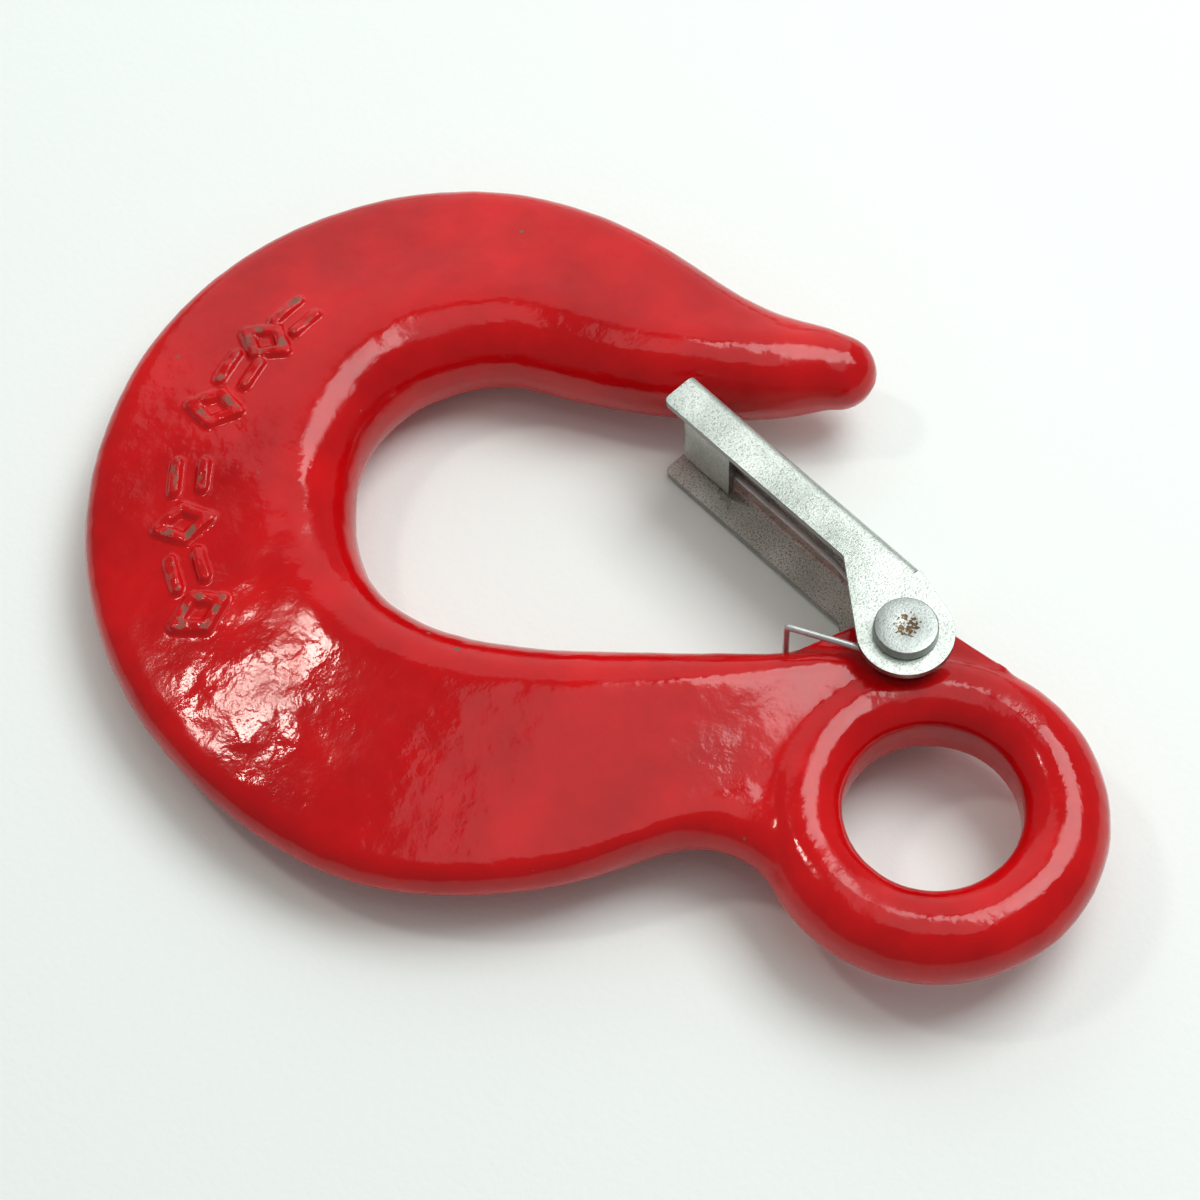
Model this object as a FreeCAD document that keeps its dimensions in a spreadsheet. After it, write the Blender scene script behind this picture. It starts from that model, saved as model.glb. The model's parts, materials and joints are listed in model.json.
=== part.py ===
import FreeCAD, Part
import math
import os
import Sketcher

# Safety chain hook: a drop-forged eye hook with a spring-loaded latch on a rivet.
# Origin at the centre of the eye on the mid-plane, +Y from the bowl to the eye, +Z up.
# The hook lies flat, with its point and its latch on the -X side and its back on the +X side.

doc = FreeCAD.newDocument("safety_chain_hook")
sizes = doc.addObject("Spreadsheet::Sheet", "sizes")

DIMENSIONS = [
    # eye ring
    ("eye_radius", 13.0), ("ring_centre_radius", 18.95), ("ring_section_radius", 6.8),
    # the fillet between the eye and the back of the shank: a piece of a round bar bent to a ring
    ("fillet_x", 34.1), ("fillet_y", -15.9), ("fillet_path_radius", 17.3),
    ("fillet_bar_radius", 5.5), ("fillet_start", 148.0), ("fillet_sweep", 78.0),
    # the centre of the bowl
    ("bowl_centre_x", -0.3), ("bowl_centre_y", -82.3),
    # latch pivot, lug and rivet
    ("pivot_x", -17.0), ("pivot_y", -18.3), ("lug_radius", 7.2), ("lug_thickness", 9.0),
    ("lug_shank_x", -2.0), ("lug_shank_y", -27.5), ("lug_shank_radius", 5.6),
    ("lug_ring_x", -19.6), ("lug_ring_y", -5.5), ("lug_ring_radius", 5.0),
    ("spot_face_radius", 5.6), ("spot_face_depth", 8.0),
    ("rivet_radius", 2.5), ("lug_bore_radius", 2.53), ("ear_bore_radius", 2.57),
    ("head_radius", 4.85), ("head_top_radius", 4.55), ("head_height", 1.8), ("head_gap", 0.1),
    # latch: one piece of folded sheet, measured from the pivot along and across its length
    ("sheet", 1.1), ("channel_width", 21.4), ("latch_length", 53.4), ("web_height", 9.3),
    ("flange_edge", 2.6), ("ear_radius", 7.2), ("kink_start", 15.2), ("web_start", 6.0),
    ("outer_bend", 1.7), ("inner_bend", 0.6), ("tip_corner", 1.0),
    ("hem_length", 11.0), ("hem_width", 16.4), ("hem_gap", 1.25), ("latch_angle", -96.8),
    # spring wire
    ("wire_radius", 0.525), ("coil_radius", 3.35), ("coil_pitch", 1.1), ("coil_outer_level", 8.15),
    ("loop_x", -7.5), ("loop_y", -32.8), ("loop_corner", 1.5), ("tine_corner", 12.0),
    ("tine_bend", 20.0), ("tine_height", 7.57), ("tine_end", 46.0),
]

# Cross-sections of the forging from the eye to the point: name, inner edge x and y, angle of
# the direction from inner to outer edge, width, radius of the thick inner nose, radius of the rim.
SECTIONS = [
    ("root", -14.5, -17.0, 0.0, 34.0, 6.0, 5.0),
    ("neck", -13.6, -25.2, 2.7, 38.2, 7.0, 5.4),
    ("slope", -8.2, -30.9, 3.3, 39.8, 8.3, 5.0),
    ("shoulder", -2.5, -37.4, 6.0, 41.7, 9.3, 4.7),
    ("shank", 5.5, -47.7, 10.6, 42.5, 9.9, 4.4),
    ("shank_low", 13.5, -58.3, 13.2, 42.4, 10.0, 4.3),
    ("back_top", 20.0, -69.0, 13.1, 41.8, 10.0, 4.3),
    ("back", 23.0, -79.0, 4.9, 40.9, 10.0, 4.3),
]
# Round the bowl: name, outward angle, inner edge's distance from the bowl's centre, width, nose, rim.
BOWL_SECTIONS = [
    ("bowl_a", -20.0, 23.0, 40.6, 10.0, 4.3),
    ("bowl_b", -45.0, 22.1, 41.3, 10.0, 4.3),
    ("bowl_c", -70.0, 22.4, 40.8, 10.0, 4.3),
    ("bowl_d", -95.0, 23.3, 39.3, 10.0, 4.4),
    ("bowl_e", -120.0, 23.6, 36.9, 9.8, 4.8),
    ("bowl_f", -145.0, 23.6, 33.8, 9.4, 5.4),
    ("bowl_g", -168.0, 23.6, 30.1, 9.0, 6.0),
]
POINT_SECTIONS = [
    ("arm_a", -28.3, -77.3, -170.5, 25.0, 8.8, 6.5),
    ("arm_b", -33.0, -70.0, -169.5, 20.8, 8.5, 6.8),
    ("arm_c", -38.4, -62.7, -162.5, 17.2, 7.9, 6.8),
    ("arm_d", -43.0, -58.0, -157.4, 14.6, 6.9, 6.4),
    ("tip", -46.7, -54.7, -154.7, 12.0, 5.9, 5.8),
]


def add_cell(row, alias, value):
    """One named dimension in the sheet."""
    sizes.set("A%d" % row, alias)
    sizes.set("B%d" % row, str(value))
    sizes.setAlias("B%d" % row, alias)


def size(alias):
    """The value of one cell of the sheet."""
    return float(sizes.get(alias))


def vector(x, y, z=0.0):
    """A short name for a FreeCAD vector."""
    return FreeCAD.Vector(x, y, z)


def fill_sheet():
    """Write the single dimensions, then the width and radii of every forging section."""
    row = 1
    for alias, value in DIMENSIONS:
        add_cell(row, alias, value)
        row += 1
    for section in SECTIONS + BOWL_SECTIONS + POINT_SECTIONS:
        for part_name, value in zip(("width", "nose", "rim"), section[-3:]):
            add_cell(row, section[0] + "_" + part_name, value)
            row += 1
    doc.recompute()


def new_body(label):
    """An empty body whose label names its file."""
    body = doc.addObject("PartDesign::Body", label)
    body.Label = label
    return body


def origin_item(body, role):
    """One of the body's own origin planes or axes."""
    return [item for item in body.Origin.OriginFeatures if item.Role == role][0]


def new_sketch(body, name, plane="XY_Plane", offset=None):
    """An empty sketch on one of the body's own origin planes, moved by the offset."""
    sketch = body.newObject("Sketcher::SketchObject", name)
    sketch.AttachmentSupport = [(origin_item(body, plane), "")]
    sketch.MapMode = "FlatFace"
    if offset is not None:
        sketch.AttachmentOffset = offset
    return sketch


def bind(sketch, kind, arguments, name, expression):
    """Add a dimension to a sketch, name it and bind it to the sheet."""
    index = sketch.addConstraint(Sketcher.Constraint(kind, *arguments))
    sketch.renameConstraint(index, name)
    sketch.setExpression("Constraints." + name, expression)


def bound_circle(sketch, x_cell, y_cell, radius_cell):
    """A circle whose centre and radius are bound to the sheet."""
    x, y, radius = size(x_cell), size(y_cell), size(radius_cell)
    circle = sketch.addGeometry(Part.Circle(vector(x, y), vector(0, 0, 1), radius), False)
    bind(sketch, "Radius", (circle, radius), "radius", "sizes." + radius_cell)
    bind(sketch, "DistanceX", (-1, 1, circle, 3, x), "centre_x", "sizes." + x_cell)
    bind(sketch, "DistanceY", (-1, 1, circle, 3, y), "centre_y", "sizes." + y_cell)


def pad(body, sketch, name, length):
    """A pad to both sides of its sketch, with its length bound to the sheet."""
    feature = body.newObject("PartDesign::Pad", name)
    feature.Profile = sketch
    feature.SideType = "Symmetric"
    feature.setExpression("Length", length)
    return feature


def pocket(body, sketch, name, length, side="Symmetric", upwards=False):
    """A pocket with its length bound to the sheet; upwards cuts along the sketch's normal."""
    feature = body.newObject("PartDesign::Pocket", name)
    feature.Profile = sketch
    feature.SideType = side
    feature.Reversed = upwards
    feature.setExpression("Length", length)
    return feature


# ---- the forging -------------------------------------------------------------------------------

def section_sketch(body, name, inner, angle, width, nose, rim):
    """A teardrop section: a thick nose arc, a thin rim arc and the two lines tangent to both."""
    turn = FreeCAD.Rotation(angle, 0.0, 90.0)
    sketch = new_sketch(body, "section_" + name, offset=FreeCAD.Placement(inner, turn))
    slope = math.asin((nose - rim) / (width - nose - rim))
    side = math.pi / 2.0 - slope
    axis = vector(0, 0, 1)
    nose_centre = vector(nose, 0)
    rim_centre = vector(width - rim, 0)

    def on_circle(centre, radius, turn_angle):
        return centre + vector(radius * math.cos(turn_angle), radius * math.sin(turn_angle))

    nose_circle = Part.Circle(nose_centre, axis, nose)
    rim_circle = Part.Circle(rim_centre, axis, rim)
    nose_arc = sketch.addGeometry(Part.ArcOfCircle(nose_circle, side, 2 * math.pi - side), False)
    lower = sketch.addGeometry(Part.LineSegment(on_circle(nose_centre, nose, -side),
                                                on_circle(rim_centre, rim, -side)), False)
    rim_arc = sketch.addGeometry(Part.ArcOfCircle(rim_circle, -side, side), False)
    upper = sketch.addGeometry(Part.LineSegment(on_circle(rim_centre, rim, side),
                                                on_circle(nose_centre, nose, side)), False)
    sketch.addConstraint(Sketcher.Constraint("Tangent", nose_arc, 2, lower, 1))
    sketch.addConstraint(Sketcher.Constraint("Tangent", lower, 2, rim_arc, 1))
    sketch.addConstraint(Sketcher.Constraint("Tangent", rim_arc, 2, upper, 1))
    sketch.addConstraint(Sketcher.Constraint("Tangent", upper, 2, nose_arc, 1))
    sketch.addConstraint(Sketcher.Constraint("PointOnObject", nose_arc, 3, -1))
    sketch.addConstraint(Sketcher.Constraint("PointOnObject", rim_arc, 3, -1))
    bind(sketch, "Radius", (nose_arc, nose), "nose", "sizes.%s_nose" % name)
    bind(sketch, "Radius", (rim_arc, rim), "rim", "sizes.%s_rim" % name)
    bind(sketch, "DistanceX", (-1, 1, nose_arc, 3, nose), "nose_place", "sizes.%s_nose" % name)
    bind(sketch, "DistanceX", (-1, 1, rim_arc, 3, width - rim), "rim_place",
         "sizes.%s_width - sizes.%s_rim" % (name, name))
    return sketch


def outward_from(angle):
    """The unit vector at an angle in the hook's plane."""
    return vector(math.cos(math.radians(angle)), math.sin(math.radians(angle)))


def forging_sections(body):
    """The sections of the bent part of the hook, in order from the eye to the point."""
    sketches = []
    for name, x, y, angle, width, nose, rim in SECTIONS:
        sketches.append(section_sketch(body, name, vector(x, y), angle, width, nose, rim))
    centre = vector(size("bowl_centre_x"), size("bowl_centre_y"))
    for name, angle, distance, width, nose, rim in BOWL_SECTIONS:
        inner = centre + outward_from(angle) * distance
        sketches.append(section_sketch(body, name, inner, angle, width, nose, rim))
    for name, x, y, angle, width, nose, rim in POINT_SECTIONS:
        sketches.append(section_sketch(body, name, vector(x, y), angle, width, nose, rim))
    return sketches


def add_point_end(body):
    """The rounded end of the point: a ball on the middle of the last section."""
    name, x, y, angle, width, nose, rim = POINT_SECTIONS[-1]
    ball = body.newObject("PartDesign::AdditiveSphere", "point_end")
    ball.setExpression("Radius", "sizes.%s_width / 2" % name)
    ball.AttachmentSupport = [(origin_item(body, "XY_Plane"), "")]
    ball.MapMode = "FlatFace"
    middle = vector(x, y) + outward_from(angle) * (width / 2.0)
    ball.AttachmentOffset = FreeCAD.Placement(middle, FreeCAD.Rotation())


def add_ring(body):
    """The eye: a round bar bent to a ring, with a cylindrical land on its inner side."""
    sketch = new_sketch(body, "ring_section", "XZ_Plane")
    centre, radius, inner = size("ring_centre_radius"), size("ring_section_radius"), size("eye_radius")
    half_land = math.sqrt(radius ** 2 - (centre - inner) ** 2)
    open_angle = math.atan2(half_land, inner - centre)
    circle = Part.Circle(vector(centre, 0), vector(0, 0, 1), radius)
    arc = sketch.addGeometry(Part.ArcOfCircle(circle, -open_angle, open_angle), False)
    land = sketch.addGeometry(Part.LineSegment(vector(inner, half_land),
                                               vector(inner, -half_land)), False)
    sketch.addConstraint(Sketcher.Constraint("Coincident", arc, 2, land, 1))
    sketch.addConstraint(Sketcher.Constraint("Coincident", land, 2, arc, 1))
    sketch.addConstraint(Sketcher.Constraint("Vertical", land))
    sketch.addConstraint(Sketcher.Constraint("PointOnObject", arc, 3, -1))
    bind(sketch, "Radius", (arc, radius), "section", "sizes.ring_section_radius")
    bind(sketch, "DistanceX", (-1, 1, arc, 3, centre), "centre", "sizes.ring_centre_radius")
    bind(sketch, "DistanceX", (-1, 1, land, 1, inner), "eye", "sizes.eye_radius")
    ring = body.newObject("PartDesign::Revolution", "eye_ring")
    ring.Profile = sketch
    ring.ReferenceAxis = (sketch, ["V_Axis"])
    ring.Angle = 360.0


def add_back_fillet(body):
    """The concave fillet on the +X side, where the back of the shank runs into the eye."""
    bar = body.newObject("PartDesign::AdditiveTorus", "back_fillet")
    bar.setExpression("Radius1", "sizes.fillet_path_radius")
    bar.setExpression("Radius2", "sizes.fillet_bar_radius")
    bar.setExpression("Angle3", "sizes.fillet_sweep")
    bar.AttachmentSupport = [(origin_item(body, "XY_Plane"), "")]
    bar.MapMode = "FlatFace"
    centre = vector(size("fillet_x"), size("fillet_y"))
    turn = FreeCAD.Rotation(vector(0, 0, 1), size("fillet_start"))
    bar.AttachmentOffset = FreeCAD.Placement(centre, turn)


def hull_of_circles(circles):
    """The outline of a tight band round circles (x, y, radius) given counter-clockwise."""
    lines = []
    arcs = []
    count = len(circles)
    normals = []
    for index, (x, y, radius) in enumerate(circles):
        next_x, next_y, next_radius = circles[(index + 1) % count]
        gap = math.hypot(next_x - x, next_y - y)
        heading = math.atan2(next_y - y, next_x - x)
        normals.append(heading - math.acos((radius - next_radius) / gap))
    for index, (x, y, radius) in enumerate(circles):
        next_x, next_y, next_radius = circles[(index + 1) % count]
        across = vector(math.cos(normals[index]), math.sin(normals[index]))
        lines.append(Part.LineSegment(vector(x, y) + across * radius,
                                      vector(next_x, next_y) + across * next_radius))
        arcs.append(Part.ArcOfCircle(Part.Circle(vector(x, y), vector(0, 0, 1), radius),
                                     normals[index - 1], normals[index]))
    return [piece for pair in zip(arcs, lines) for piece in pair]


def add_lug(body):
    """The flat lug that carries the latch, joined to the ring and to the shank."""
    round_pivot = (size("pivot_x"), size("pivot_y"), size("lug_radius"))
    in_shank = (size("lug_shank_x"), size("lug_shank_y"), size("lug_shank_radius"))
    in_ring = (size("lug_ring_x"), size("lug_ring_y"), size("lug_ring_radius"))
    sketch = new_sketch(body, "lug_outline")
    for piece in hull_of_circles([round_pivot, in_shank, in_ring]):
        sketch.addGeometry(piece, False)
    pad(body, sketch, "lug", "sizes.lug_thickness")
    for name, side, upwards in (("top", 1.0, True), ("bottom", -1.0, False)):
        level = FreeCAD.Placement(vector(0, 0, side * size("lug_thickness") / 2.0),
                                  FreeCAD.Rotation())
        face = new_sketch(body, "spot_face_" + name, offset=level)
        bound_circle(face, "pivot_x", "pivot_y", "spot_face_radius")
        pocket(body, face, "spot_cut_" + name, "sizes.spot_face_depth", "One side", upwards)
    bore = new_sketch(body, "lug_bore_outline")
    bound_circle(bore, "pivot_x", "pivot_y", "lug_bore_radius")
    pocket(body, bore, "lug_bore", "sizes.lug_thickness * 3")


def make_hook():
    """The hook forging: bent body with its point, eye ring and latch lug in one piece."""
    body = new_body("hook_forging")
    sketches = forging_sections(body)
    loft = body.newObject("PartDesign::AdditiveLoft", "bent_body")
    loft.Profile = sketches[0]
    loft.Sections = sketches[1:]
    loft.Ruled = False
    add_point_end(body)
    add_ring(body)
    add_back_fillet(body)
    add_lug(body)
    return body


# ---- the latch ---------------------------------------------------------------------------------

def tangent_angle(x, y, radius, side):
    """Angle on a circle at the origin where a line from the point x, y touches it."""
    return math.atan2(y, x) + side * math.acos(radius / math.hypot(x, y))


def latch_profile(body):
    """The latch from the side: X from the pivot to the tip, -Y towards its back."""
    ear, top, length = size("ear_radius"), size("web_height"), size("latch_length")
    edge, kink, start = size("flange_edge"), size("kink_start"), size("web_start")
    first = tangent_angle(kink, -edge, ear, 1.0)
    last = tangent_angle(start, -top, ear, -1.0) + 2 * math.pi
    sketch = new_sketch(body, "side_profile")
    circle = Part.Circle(vector(0, 0), vector(0, 0, 1), ear)
    arc = sketch.addGeometry(Part.ArcOfCircle(circle, first, last), False)
    corners = [
        vector(ear * math.cos(last), ear * math.sin(last)),
        vector(start, -top),
        vector(length, -top),
        vector(length, -edge),
        vector(kink, -edge),
        vector(ear * math.cos(first), ear * math.sin(first)),
    ]
    lines = []
    for begin, end in zip(corners[:-1], corners[1:]):
        lines.append(sketch.addGeometry(Part.LineSegment(begin, end), False))
    ramp, back, end_line, flange_line, kink_line = lines
    sketch.addConstraint(Sketcher.Constraint("Coincident", arc, 3, -1, 1))
    sketch.addConstraint(Sketcher.Constraint("Tangent", arc, 2, ramp, 1))
    sketch.addConstraint(Sketcher.Constraint("Tangent", kink_line, 2, arc, 1))
    for before, after in zip(lines[:-1], lines[1:]):
        sketch.addConstraint(Sketcher.Constraint("Coincident", before, 2, after, 1))
    sketch.addConstraint(Sketcher.Constraint("Horizontal", back))
    sketch.addConstraint(Sketcher.Constraint("Vertical", end_line))
    sketch.addConstraint(Sketcher.Constraint("Horizontal", flange_line))
    bind(sketch, "Radius", (arc, ear), "ear", "sizes.ear_radius")
    bind(sketch, "DistanceX", (-1, 1, ramp, 2, start), "web_start", "sizes.web_start")
    bind(sketch, "DistanceY", (back, 2, -1, 1, top), "web_height", "sizes.web_height")
    bind(sketch, "DistanceX", (-1, 1, back, 2, length), "length", "sizes.latch_length")
    bind(sketch, "DistanceY", (flange_line, 1, -1, 1, edge), "edge", "sizes.flange_edge")
    bind(sketch, "DistanceX", (-1, 1, kink_line, 1, kink), "kink", "sizes.kink_start")
    return sketch


def bound_box_sketch(body, name, left, right, low, high):
    """A rectangle in the side view; each bound is a pair of its value and its expression."""
    sketch = new_sketch(body, name)
    corners = [vector(left[0], low[0]), vector(right[0], low[0]),
               vector(right[0], high[0]), vector(left[0], high[0])]
    lines = []
    for begin, end in zip(corners, corners[1:] + corners[:1]):
        lines.append(sketch.addGeometry(Part.LineSegment(begin, end), False))
    for before, after in zip(lines, lines[1:] + lines[:1]):
        sketch.addConstraint(Sketcher.Constraint("Coincident", before, 2, after, 1))
    for line, kind in zip(lines, ("Horizontal", "Vertical", "Horizontal", "Vertical")):
        sketch.addConstraint(Sketcher.Constraint(kind, line))
    bottom, right_side, upper, left_side = lines
    bind(sketch, "DistanceX", (-1, 1, left_side, 1, left[0]), "left", left[1])
    bind(sketch, "DistanceX", (-1, 1, right_side, 1, right[0]), "right", right[1])
    bind(sketch, "DistanceY", (-1, 1, bottom, 1, low[0]), "low", low[1])
    bind(sketch, "DistanceY", (-1, 1, upper, 1, high[0]), "high", high[1])
    return sketch


def edges_along(shape, direction, test):
    """Names of the straight edges along a direction whose middle passes the test."""
    names = []
    for index, edge in enumerate(shape.Edges, start=1):
        if edge.Curve.TypeId != "Part::GeomLine":
            continue
        along = edge.lastVertex().Point - edge.firstVertex().Point
        middle = (edge.lastVertex().Point + edge.firstVertex().Point) * 0.5
        if along.Length > 1e-6 and abs(along.normalize().dot(direction)) > 0.999 and test(middle):
            names.append("Edge%d" % index)
    return names


def round_edges(body, base, name, edges, radius):
    """A fillet on named edges, with its radius bound to the sheet."""
    fillet = body.newObject("PartDesign::Fillet", name)
    fillet.Base = (base, edges)
    fillet.setExpression("Radius", radius)
    doc.recompute()
    return fillet


def make_latch():
    """The latch: a channel folded from sheet, with two ears and a hem at its tip."""
    body = new_body("latch")
    sheet, top, length = size("sheet"), size("web_height"), size("latch_length")
    inside = size("web_height") - sheet
    half = size("channel_width") / 2.0
    pad(body, latch_profile(body), "outer_block", "sizes.channel_width")
    reach = size("ear_radius") * 2.0
    hollow = bound_box_sketch(
        body, "hollow_outline", (-reach, "-sizes.ear_radius * 2"),
        (length + sheet, "sizes.latch_length + sizes.sheet"),
        (-inside, "sizes.sheet - sizes.web_height"), (reach, "sizes.ear_radius * 2"))
    hollow_cut = pocket(body, hollow, "hollow", "sizes.channel_width - 2 * sizes.sheet")
    doc.recompute()
    along = vector(1, 0, 0)
    outer = edges_along(hollow_cut.Shape, along,
                        lambda p: abs(p.y + top) < 0.01 and abs(abs(p.z) - half) < 0.01)
    bends = round_edges(body, hollow_cut, "outer_bends", outer, "sizes.outer_bend")
    inner = edges_along(bends.Shape, along,
                        lambda p: abs(p.y + inside) < 0.01 and abs(abs(p.z) - half + sheet) < 0.01)
    bends = round_edges(body, bends, "inner_bends", inner, "sizes.inner_bend")
    tips = edges_along(bends.Shape, vector(0, 0, 1),
                       lambda p: abs(p.x - length) < 0.01 and abs(p.y + size("flange_edge")) < 0.01)
    round_edges(body, bends, "tip_corners", tips, "sizes.tip_corner")
    hem_top = -(inside - size("hem_gap"))
    hem_low = hem_top + sheet
    hem = bound_box_sketch(
        body, "hem_outline", (length - size("hem_length"), "sizes.latch_length - sizes.hem_length"),
        (length, "sizes.latch_length"),
        (hem_top, "sizes.sheet + sizes.hem_gap - sizes.web_height"),
        (hem_low, "2 * sizes.sheet + sizes.hem_gap - sizes.web_height"))
    pad(body, hem, "hem_tab", "sizes.hem_width")
    fold = bound_box_sketch(
        body, "fold_outline", (length - sheet, "sizes.latch_length - sizes.sheet"),
        (length, "sizes.latch_length"), (-inside - sheet / 2.0, "sizes.sheet / 2 - sizes.web_height"),
        (hem_low, "2 * sizes.sheet + sizes.hem_gap - sizes.web_height"))
    fold_pad = pad(body, fold, "hem_fold", "sizes.hem_width")
    doc.recompute()
    folded = edges_along(fold_pad.Shape, vector(0, 0, 1),
                         lambda p: abs(p.x - length) < 0.01 and abs(p.y - hem_low) < 0.01)
    round_edges(body, fold_pad, "hem_round", folded, "sizes.tip_corner")
    holes = new_sketch(body, "ear_bore_outline")
    hole = holes.addGeometry(Part.Circle(vector(0, 0), vector(0, 0, 1), size("ear_bore_radius")), False)
    holes.addConstraint(Sketcher.Constraint("Coincident", hole, 3, -1, 1))
    bind(holes, "Radius", (hole, size("ear_bore_radius")), "bore", "sizes.ear_bore_radius")
    pocket(body, holes, "ear_bores", "sizes.channel_width * 2")
    body.Placement = FreeCAD.Placement(vector(size("pivot_x"), size("pivot_y")),
                                       FreeCAD.Rotation(vector(0, 0, 1), size("latch_angle")))
    return body


# ---- the rivet ---------------------------------------------------------------------------------

def make_rivet():
    """The rivet: a round shank through both ears and the lug, with a peened head on each end."""
    shank = doc.addObject("Part::Cylinder", "rivet_shank")
    shank.setExpression("Radius", "sizes.rivet_radius")
    shank.setExpression("Height", "sizes.channel_width + 2 * sizes.head_gap + sizes.head_height")
    shank.setExpression("Placement.Base.z",
                        "-sizes.channel_width / 2 - sizes.head_gap - sizes.head_height / 2")
    heads = []
    for name, turn in (("rivet_head_top", 0.0), ("rivet_head_bottom", 180.0)):
        head = doc.addObject("Part::Cone", name)
        head.setExpression("Radius1", "sizes.head_radius")
        head.setExpression("Radius2", "sizes.head_top_radius")
        head.setExpression("Height", "sizes.head_height")
        level = size("channel_width") / 2.0 + size("head_gap")
        base = vector(0, 0, level if turn == 0.0 else -level)
        head.Placement = FreeCAD.Placement(base, FreeCAD.Rotation(vector(1, 0, 0), turn))
        heads.append(head)
    rivet = doc.addObject("Part::MultiFuse", "rivet")
    rivet.Label = "rivet"
    rivet.Shapes = [shank] + heads
    rivet.Placement = FreeCAD.Placement(vector(size("pivot_x"), size("pivot_y")), FreeCAD.Rotation())
    return rivet


# ---- the spring --------------------------------------------------------------------------------

def rounded_path(points, radius):
    """Edges through the points, with a tangent arc of the radius at each inner point."""
    edges = []
    begin = points[0]
    for before, corner, after in zip(points[:-2], points[1:-1], points[2:]):
        back = (before - corner).normalize()
        ahead = (after - corner).normalize()
        half_turn = (math.pi - back.getAngle(ahead)) / 2.0
        reach = radius * math.tan(half_turn)
        middle = (back + ahead).normalize() * (radius / math.cos(half_turn) - radius)
        edges.append(Part.LineSegment(begin, corner + back * reach).toShape())
        edges.append(Part.Arc(corner + back * reach, corner + middle,
                              corner + ahead * reach).toShape())
        begin = corner + ahead * reach
    edges.append(Part.LineSegment(begin, points[-1]).toShape())
    return edges


def make_spring():
    """The double torsion spring: a loop on the shank, a coil each side of the lug, two tines."""
    coil, pitch = size("coil_radius"), size("coil_pitch")
    pivot = vector(size("pivot_x"), size("pivot_y"))
    corner = vector(size("loop_x"), size("loop_y"))
    outer_level = -size("coil_outer_level")
    slope = pitch / (2 * math.pi * coil)
    turn = math.radians(size("latch_angle"))
    along = vector(math.cos(turn), math.sin(turn))
    across = vector(math.sin(turn), -math.cos(turn))

    bend = pivot + along * size("tine_bend") + across * size("tine_height")
    tip = pivot + along * size("tine_end") + across * size("tine_height")
    to_corner = corner - pivot
    to_bend = bend - pivot
    start = math.atan2(to_corner.y, to_corner.x) + math.acos(coil / to_corner.Length)
    finish = math.atan2(to_bend.y, to_bend.x) - math.acos(coil / to_bend.Length)
    while finish < start + 4 * math.pi:
        finish += 2 * math.pi
    rise = pitch * (finish - start) / (2 * math.pi)
    coil_start = pivot + vector(coil * math.cos(start), coil * math.sin(start), outer_level)
    coil_end = pivot + vector(coil * math.cos(finish), coil * math.sin(finish), outer_level + rise)
    leg_length = math.sqrt(to_corner.Length ** 2 - coil ** 2)
    tine_length = math.sqrt(to_bend.Length ** 2 - coil ** 2)
    corner.z = outer_level - slope * leg_length
    bend.z = coil_end.z + slope * tine_length
    tip.z = bend.z

    helix = Part.makeHelix(pitch, rise, coil)
    helix.rotate(vector(0, 0), vector(0, 0, 1), math.degrees(start))
    helix.translate(pivot + vector(0, 0, outer_level))
    loop_middle = vector(corner.x, corner.y)
    leg = rounded_path([loop_middle, corner, coil_start], size("loop_corner"))
    tine = rounded_path([coil_end, bend, tip], size("tine_corner"))
    path = Part.Wire(leg + helix.Edges + tine)
    profile = Part.Wire([Part.makeCircle(size("wire_radius"), loop_middle, vector(0, 0, 1))])
    lower = path.makePipeShell([profile], True, False)
    spring = doc.addObject("Part::Feature", "latch_spring")
    spring.Label = "latch_spring"
    spring.Shape = lower.fuse(lower.mirror(vector(0, 0), vector(0, 0, 1)))
    return spring


# ---- build, check and write --------------------------------------------------------------------

def check(objects):
    """Stop if any object failed, or any sub-part is empty or invalid."""
    for item in doc.Objects:
        if "Invalid" in item.State or "Error" in item.State:
            raise RuntimeError("%s is in state %s" % (item.Name, item.State))
    for item in objects:
        if item.Shape.isNull() or not item.Shape.isValid():
            raise RuntimeError("%s has no valid shape" % item.Label)
        if len(item.Shape.Solids) != 1:
            raise RuntimeError("%s has %d solids" % (item.Label, len(item.Shape.Solids)))


fill_sheet()
subparts = [make_hook(), make_latch(), make_rivet(), make_spring()]
doc.recompute()
check(subparts)
os.makedirs("parts", exist_ok=True)
for subpart in subparts:
    box = subpart.Shape.BoundBox
    print("%s volume %.0f mm3, box %.1f %.1f %.1f to %.1f %.1f %.1f" % (
        subpart.Label, subpart.Shape.Volume, box.XMin, box.YMin, box.ZMin,
        box.XMax, box.YMax, box.ZMax))
    subpart.Shape.exportStep("parts/%s.step" % subpart.Label)
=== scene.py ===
import json
import math

import bmesh
import bpy
from mathutils import Euler, Matrix, Quaternion, Vector, noise


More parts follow.
